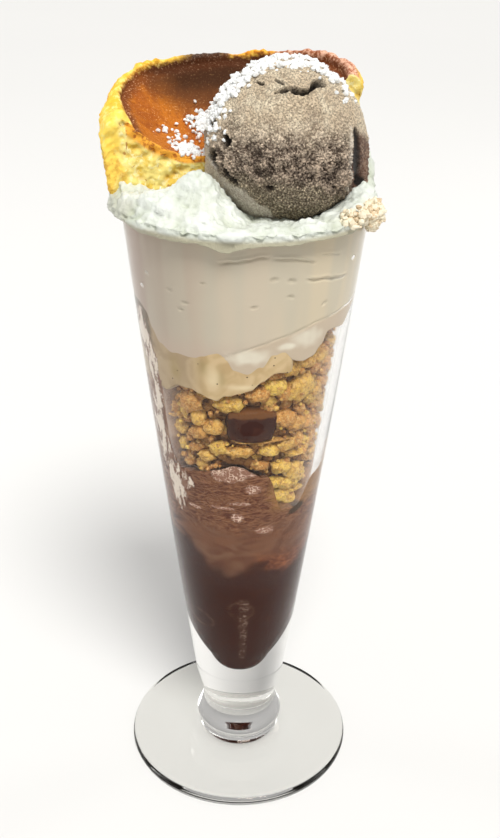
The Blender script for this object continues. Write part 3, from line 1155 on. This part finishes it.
def makeScoop():
    s = scoopForm
    piece = newPiece("iceCream", "cube", size=2 * mm)
    bpy.ops.object.mode_set(mode="EDIT")
    bpy.ops.mesh.select_all(action="SELECT")
    bpy.ops.mesh.subdivide(number_cuts=10)
    bpy.ops.mesh.subdivide(number_cuts=10)
    bpy.ops.object.mode_set(mode="OBJECT")
    cube = np.tan(pointsOf(piece) * math.pi / 4)
    way = cube / np.linalg.norm(cube, axis=1)[:, None]
    local = way @ scoopFrame()  # into the frame whose pole faces the viewer
    latitude = np.degrees(np.arcsin(np.clip(local[:, 2], -1, 1)))
    angle = np.degrees(np.arctan2(local[:, 0], local[:, 1]))
    flare = np.where(latitude > s["skirtAt"], around(s["flare"], angle), s["skirtWidth"])
    skirt = around(s["skirt"], angle) * np.exp(-(((latitude - s["skirtAt"]) / flare) ** 2))
    points = s["middle"] + way * (s["radius"] + skirt)[:, None]
    points += 0.5 * np.stack([uneven(points, 11, shift) for shift in (0, 7, 19)], axis=-1)

    right, up = local[:, 0] * s["radius"], local[:, 1] * s["radius"]
    facing = local[:, 2] > -0.1
    edge = around(s["melt"], angle)
    melted = eased((edge + 6 * uneven(points, 3.5, 2) - latitude) / 4)
    flap = eased((right - 17.7 + 0.4 * uneven(points, 2, 5)) / 0.7)
    flap = flap * eased((2.5 - up) / 3) * eased((up + 14) / 3)
    lower = eased((6.5 + 5 * uneven(points, 7, 3) - up) / 13) * (1 - melted)  # the rough lower half
    deep = eased((3 + 4 * uneven(points, 6, 8) - up) / 15)
    calm = eased((-12.0 + 1.8 * uneven(points, 5, 6) - up - 0.12 * right) / 3)
    warped = points + 0.5 * np.stack([uneven(points, 1.6, k) for k in (2, 4, 6)], axis=-1)
    near, nextNear = grains(warped, 1.25, 2.0)
    fineNear, fineNext = grains(warped, 0.75, 5.0)
    lump, fine = eased((nextNear - near) / 0.42), eased((fineNext - fineNear) / 0.4)
    keen = lower * (1 - 0.75 * calm) * (1 - 0.8 * flap)
    uneasy = uneven(points, 2.6, 8)
    rough = 0.45 * lump + 0.9 * uneasy + 0.6 * (0.35 - np.abs(uneven(points, 1.5, 4))) - 0.3
    scraped = 0.15 * uneven(points * np.array([0.35, 1, 1]), 1.0, 5) + 0.28 * fine
    relief = keen * rough + scraped + 0.3 * lower * fine - 0.25 * lower
    hollow = np.zeros(len(points))
    ragged = 1 + 0.4 * uneven(points, 1.1, 3)
    for depth, line in s["cracks"]:
        away = fromLine(right, up, line) * ragged
        inside = np.exp(-((away * 0.95) ** 7)) * facing
        hollow = np.maximum(hollow, np.exp(-((away * 0.8) ** 7)) * facing)
        relief = relief * (1 - inside) - depth * inside
    ridge = np.exp(-((fromLine(right, up, s["flap"]) * ragged) ** 2)) * facing
    setPoints(piece, points)
    swell(piece, relief + 0.5 * ridge)
    shady = eased((28 + 6 * uneven(points, 3, 1) - latitude) / 8) * around(s["shade"], angle)
    crest = np.clip(0.4 * lump + 0.3 * fine + 0.8 * uneasy + 0.1, 0, 1)
    mark(piece, lower=lower, deep=deep, calm=calm, hollow=hollow, flap=flap * (1 - ridge),
         skirt=np.maximum(melted, 0.8 * ridge), shady=shady, crest=crest)
    return placed(smoothed(piece), scoopFinish(), "ice_cream")


def scoopFinish():
    finish = Finish("cocoaIceCream", Roughness=0.5, IOR=1.4)
    names = ("lower", "deep", "calm", "hollow", "flap", "skirt", "shady", "crest")
    lower, deep, calm, hollow, flap, skirt, shady, crest = (finish.marked(name) for name in names)
    drift = finish.ramp(finish.clouds(6, 4, 0.6, 0.55), 0.38, 0.66)
    domes = finish.ramp(finish.specks(0.7), 0.66, 0.2)
    fine = finish.ramp(finish.clouds(0.5, 3, 0.4, 0.7), 0.36, 0.62)
    grit = domes * 0.55 + fine * 0.6
    upper = finish.mix((0.84, 0.68, 0.48), (1.0, 0.87, 0.65), drift)
    upper = finish.mix((0.2, 0.145, 0.1), upper, (grit * 1.05 + 0.22).clamped())
    gap = finish.mix((0.22, 0.155, 0.11), (0.05, 0.031, 0.021), deep)
    crown = finish.mix((1.0, 0.83, 0.64), (0.78, 0.61, 0.46), deep)
    base = finish.mix(gap, crown, (crest * 0.95 + grit * 0.85 - 0.4).clamped())
    scoured = finish.mix((0.16, 0.12, 0.08), (1.0, 0.84, 0.6), grit * grit)
    base = finish.mix(base, scoured, calm * 0.85)
    colour = finish.mix(upper, base, lower)
    colour = finish.mix(colour, finish.mix((0.12, 0.08, 0.07), (0.42, 0.32, 0.26), fine), shady)
    smooth = finish.mix((0.13, 0.055, 0.032), (0.5, 0.34, 0.24), drift * fine)
    colour = finish.mix(colour, smooth, flap * 0.9)
    milky = finish.mix((0.5, 0.38, 0.28), (1.0, 0.92, 0.8), (grit * 0.9 + 0.25).clamped())
    colour = finish.mix(colour, milky, skirt)
    finish.set("Base Color", finish.mix(colour, (0.012, 0.007, 0.005), hollow))
    finish.bumps(domes * 0.5 + fine * 0.6, 0.4)
    return finish.material


# Sugar and crumbs

def onScoop(angle, latitude, lift=0.0):
    s = scoopForm
    turn, up = np.radians(angle), np.radians(latitude)
    local = np.array([np.sin(turn) * np.cos(up), np.cos(turn) * np.cos(up), np.sin(up)])
    return s["middle"] + (scoopFrame() @ local) * (s["radius"] + lift)


def onCake(x, y, lift):
    share = cakeShare(x - cakeForm["middle"][0], y - cakeForm["middle"][1])
    return np.array([x, y, float(cakeRim(x, y) - cakeSunk(min(share, 1))) + lift])


def lumps(name, draw, spots, sizes, finish, node):
    bases = []
    for number in range(6):
        base = newPiece(f"lump{number}", "ico_sphere", subdivisions=2, radius=mm)
        points = pointsOf(base)
        jagged = 1 + 0.5 * uneven(points, 0.75, number * 5.5) + 0.35 * uneven(points, 0.38, number * 3.1)
        setPoints(base, points * jagged[:, None] * np.array([1.15, 0.95, 0.8]))
        bases.append(smoothed(base, 35))
    made = []
    for spot in spots:
        radius = draw.uniform(*sizes) * draw.choice((0.7, 1.0, 1.3))
        points = pointsOf(draw.choice(bases)) @ anyTurn(draw).T * radius
        made.append(copied(bases[0], points + spot, tone=draw.random()))
    dropped(*bases)
    return placed(joined(name, made), finish, node)


def makeSugar():
    look = {
        "seed": 11, "clusters": 150, "scattered": 80, "onScoop": (0.38, 0.78), "onCake": (0.38, 0.75),
        # patches on the cheesecake, each its place, its spread and how many lumps it has
        "patches": [(-18.5, 3.8, 1.7, 90), (-15.5, 2.4, 1.7, 70), (-14.0, 16.8, 2.0, 80),
                    (-10.5, 19.5, 2.2, 90), (-17, 9, 3.5, 20), (-22, 10, 4, 12)],
    }
    draw = random.Random(look["seed"])
    finish = Finish("coarseSugar", Roughness=0.4, IOR=1.45)
    finish.set("Base Color", finish.mix((0.76, 0.775, 0.77), (0.95, 0.955, 0.95), finish.marked("tone")))
    finish.bumps(finish.clouds(0.35, 2), 0.12)
    band = []
    for _ in range(look["clusters"]):  # along the scoop's upper left edge
        angle = draw.choice((draw.gauss(-54, 18), draw.gauss(2, 26)))
        reach = draw.uniform(17.6, 22.4) if angle > -62 else draw.uniform(19.0, 22.4)
        latitude = math.degrees(math.acos(reach / scoopForm["radius"]))
        for _ in range(draw.randint(3, 8)):
            spot = (angle + draw.gauss(0, 1.8), latitude + draw.gauss(0, 1.6), draw.uniform(-0.1, 0.7))
            band.append(onScoop(*spot))
    for _ in range(look["scattered"]):
        band.append(onScoop(draw.uniform(-98, 62), draw.uniform(8, 44)))
    lumps("sugarOnScoop", draw, band, look["onScoop"], finish.material, "ice_cream")
    patch = []
    for middleX, middleY, spread, count in look["patches"]:
        for _ in range(count):
            x, y = draw.gauss(middleX, spread), draw.gauss(middleY, spread * 0.8)
            patch.append(onCake(x, y, draw.uniform(0.1, 0.8)))
    lumps("sugarOnCake", draw, patch, look["onCake"], finish.material, "cheesecake")


def makeCrumble():
    look = {"seed": 3, "angle": 71, "middle": (38.0, 201.5), "half": np.array([4.6, 3.6, 4.6]),
            "outer": 420, "inner": 60, "trail": 150, "sizes": (0.5, 0.95)}
    draw = random.Random(look["seed"])
    centre = polar(look["angle"], *look["middle"])
    turn = np.array(Matrix.Rotation(math.radians(look["angle"]), 3, "Z"))

    def within(low, high):  # a place in the clump, between these shares of its half sizes
        way = np.array([draw.gauss(0, 1) for _ in range(3)])
        return centre + turn @ (way / np.linalg.norm(way) * look["half"] * draw.uniform(low, high))

    spots = []
    while len(spots) < look["outer"]:
        spot = within(0.6, 0.97)
        if spot[2] > 200.9 or math.hypot(spot[0], spot[1]) > outsideRadius(spot[2]) + 0.9:
            spots.append(spot)
    for _ in range(look["inner"]):
        spot = within(0.3, 0.6)
        if spot[2] > 201.4:
            spots.append(spot)
    for _ in range(look["trail"]):  # thinly along the rim towards the front
        angle = draw.uniform(48, 66)
        spots.append(polar(angle, draw.gauss(37.2, 1.1), draw.gauss(202.8, 0.8)))
    finish = Finish("creamyCrumble", Roughness=0.65, IOR=1.45)
    pale = finish.mix((0.68, 0.52, 0.33), (0.88, 0.8, 0.62), finish.ramp(finish.marked("tone"), 0.0, 0.5))
    browned = finish.ramp(finish.clouds(1.4, 4), 0.58, 0.72) * 0.6
    finish.set("Base Color", finish.mix(pale, (0.52, 0.32, 0.16), browned))
    finish.bumps(finish.clouds(0.5, 3), 0.25)
    return lumps("rimCrumble", draw, spots, look["sizes"], finish.material, "rim_crumble")


# The studio

def makeStudio():
    look = {
        "floor": 30.0, "lens": 45.57, "place": (0.0, -0.30956, 0.28253),
        "pitch": 26.229, "yaw": 0.4486, "roll": 0.9127,
        # each lamp's kind, place, aim, strength, spread and colour
        "lamps": [
            ("SUN", (0.2, -0.66, 1.2), (0, 0, 0.1), 3.1, math.radians(24), (1.0, 0.985, 0.955)),
            ("AREA", (0.95, 0.5, 0.55), (0, 0, 0.12), 2.2, 0.5, (1.0, 0.99, 0.98)),
            ("AREA", (-1.0, 0.25, 0.5), (0, 0, 0.12), 2.0, 0.5, (1.0, 0.99, 0.98)),
        ],
        "sky": (0.0, 0.75, 0.36, 0.52), "skyColour": (1.0, 0.99, 0.975, 1),
    }
    bpy.ops.object.select_all(action="DESELECT")
    bpy.ops.mesh.primitive_plane_add(size=look["floor"])
    floor = bpy.context.object
    floor.name = "floor"
    floor.location.z = -0.0002
    paper = Finish("floorPaper", Roughness=0.8, Specular_IOR_Level=0.1)
    paper.set("Base Color", paper.mix((0.7, 0.7, 0.695), (0.72, 0.72, 0.715), paper.clouds(900, 2)))
    floor.data.materials.append(paper.material)

    pitch, yaw, roll = (math.radians(look[key]) for key in ("pitch", "yaw", "roll"))
    forward = Vector((math.sin(yaw) * math.cos(pitch), math.cos(yaw) * math.cos(pitch), -math.sin(pitch)))
    right = Vector((math.cos(yaw), -math.sin(yaw), 0))
    up = right.cross(forward)
    rolledRight = math.cos(roll) * right + math.sin(roll) * up
    rolledUp = math.cos(roll) * up - math.sin(roll) * right
    bpy.ops.object.camera_add()
    camera = bpy.context.object
    camera.data.lens = look["lens"]
    camera.data.sensor_width = 36
    camera.data.clip_start = 0.01
    axes = Matrix((rolledRight, rolledUp, -forward)).transposed().to_4x4()
    camera.matrix_world = Matrix.Translation(look["place"]) @ axes
    bpy.context.scene.camera = camera

    for kind, place, aim, strength, spread, colour in look["lamps"]:
        bpy.ops.object.light_add(type=kind, location=place)
        lamp = bpy.context.object
        lamp.data.energy = strength
        lamp.data.color = colour
        if kind == "SUN":
            lamp.data.angle = spread
        else:
            lamp.data.shape = "RECTANGLE"
            lamp.data.size, lamp.data.size_y = spread * 0.5, spread * 1.6
        lamp.rotation_euler = (Vector(aim) - Vector(place)).to_track_quat("-Z", "Y").to_euler()

    world = bpy.data.worlds.new("studio")
    bpy.context.scene.world = world
    world.use_nodes = True
    tree = world.node_tree
    way = tree.nodes.new("ShaderNodeTexCoord")
    parts = tree.nodes.new("ShaderNodeSeparateXYZ")
    rise = tree.nodes.new("ShaderNodeMapRange")
    rise.interpolation_type = "SMOOTHSTEP"
    for place, value in enumerate(look["sky"], 1):  # darker towards the horizon, so that glass has edges
        rise.inputs[place].default_value = value
    tree.links.new(way.outputs["Generated"], parts.inputs[0])
    tree.links.new(parts.outputs["Z"], rise.inputs[0])
    tree.links.new(rise.outputs[0], tree.nodes["Background"].inputs[1])
    tree.nodes["Background"].inputs[0].default_value = look["skyColour"]
    bpy.context.scene.view_settings.view_transform = "Standard"


makeStudio()
print("studio ready")
makeGlass()
print("glass ready")
makePudding()
makeJelly()
makeCustard()
makePocket()
makeStreak()
print("fillings ready")
makeGranola()
makeCreamBelow()
makeCreamTop()
print("cream ready")
makeCake()
makeScoop()
print("cheesecake and scoop ready")
makeSugar()
makeCrumble()
print("sugar and crumbs ready")
